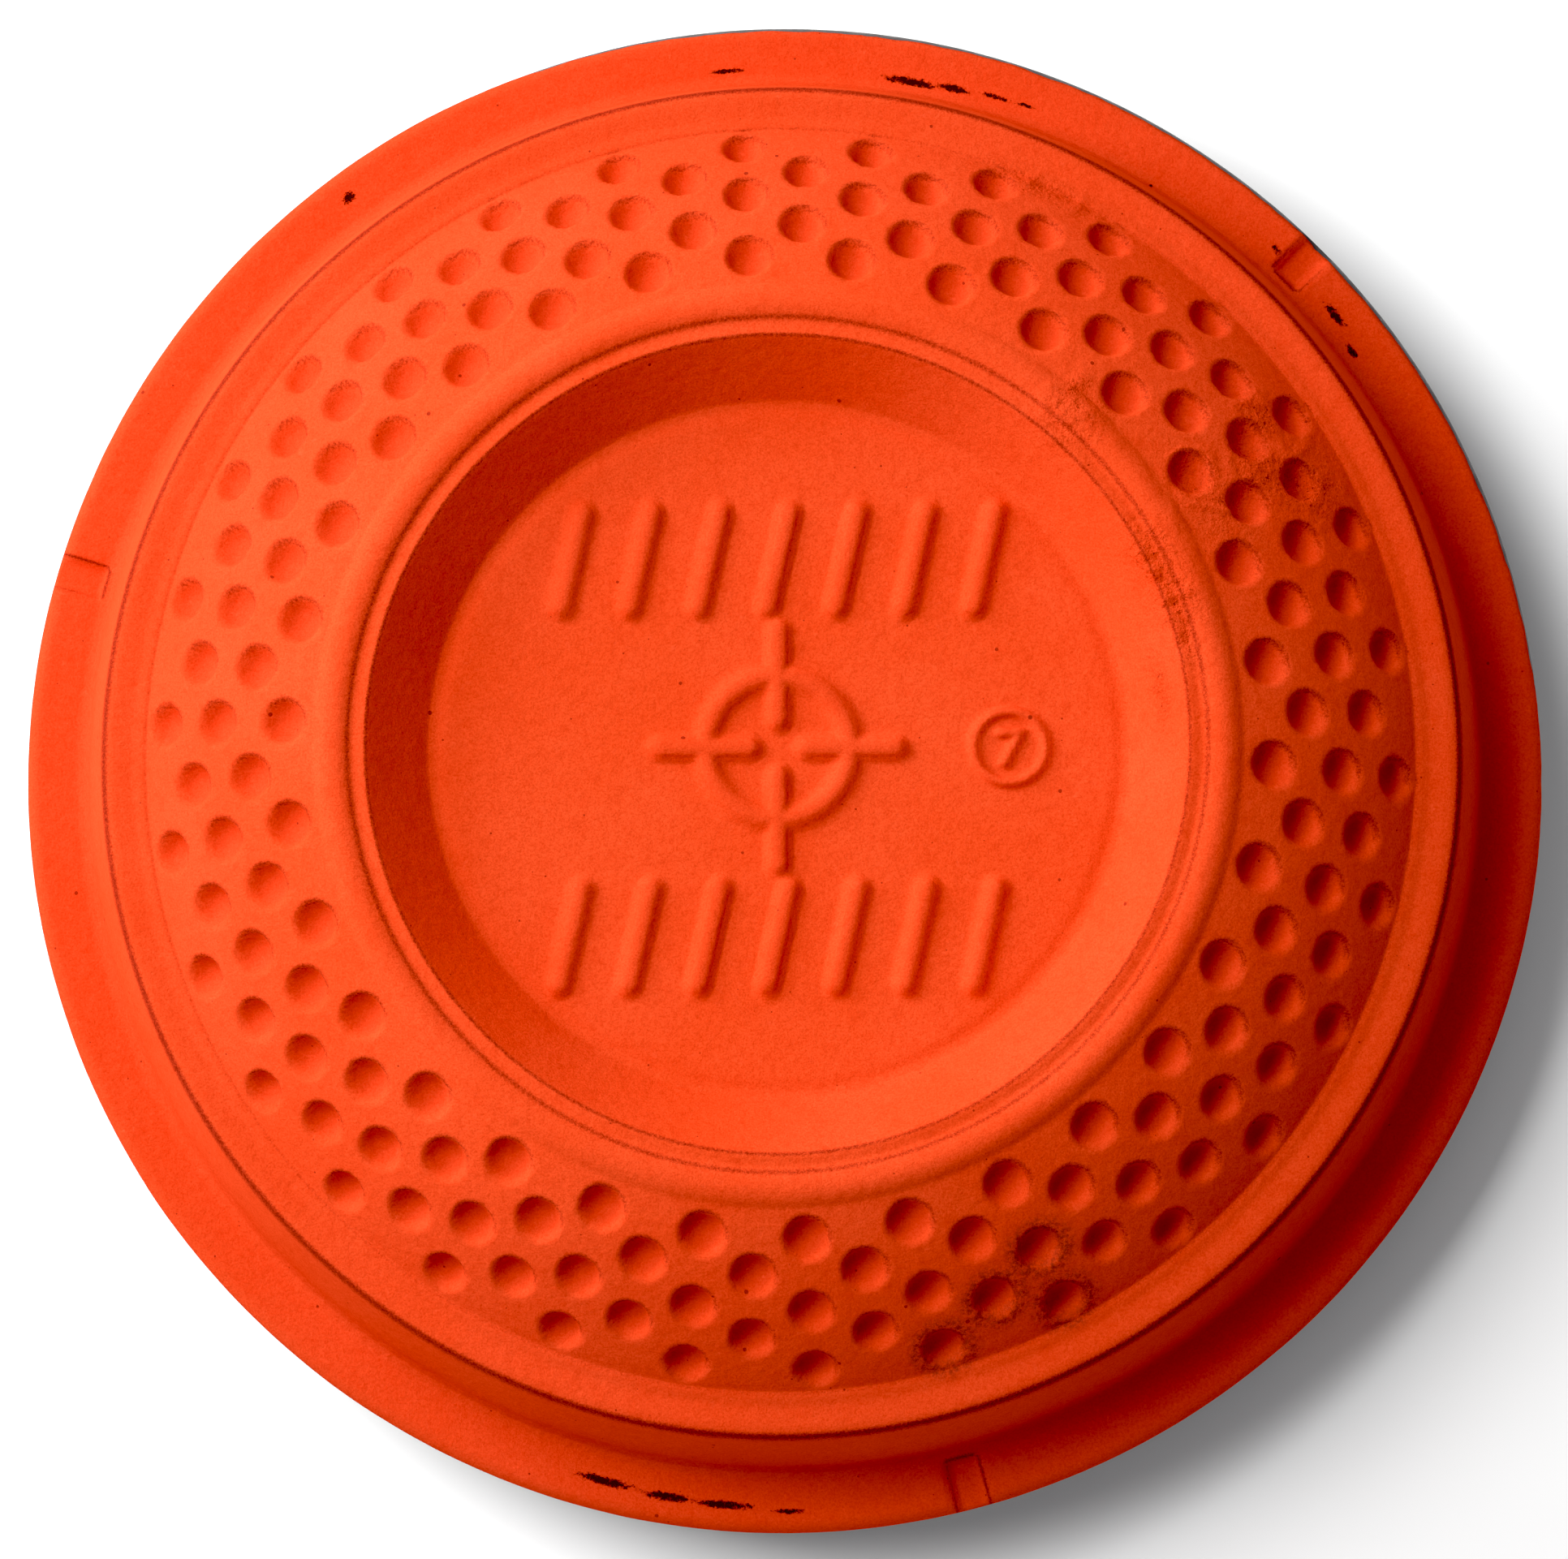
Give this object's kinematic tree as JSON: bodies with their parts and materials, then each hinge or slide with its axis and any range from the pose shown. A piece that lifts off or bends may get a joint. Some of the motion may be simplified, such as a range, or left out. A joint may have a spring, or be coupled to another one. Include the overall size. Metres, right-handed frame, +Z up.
{
  "type": "clay shooting target",
  "caption": "Domed disc moulded in pitch and limestone and sprayed orange, with a dimpled dome, stepped ring, flange and round recess, hollow beneath so that it stacks.",
  "frame": {"origin": "centre of the foot ring, on the plane that the disc stands on", "axes": "+Z up along the disc's axis, +X through the raised cavity number, +Y towards the upper row of strokes"},
  "size_m": [0.109, 0.109, 0.0283],
  "materials": {
    "pitch": "moulded pitch and limestone, satin black",
    "orange_paint": "sprayed fluorescent orange, matte, with fine grain, dark specks and worn edges"
  },
  "bodies": {
    "root": {"pitch_body": "pitch", "paint_coat": "orange_paint"}
  },
  "joints": []
}
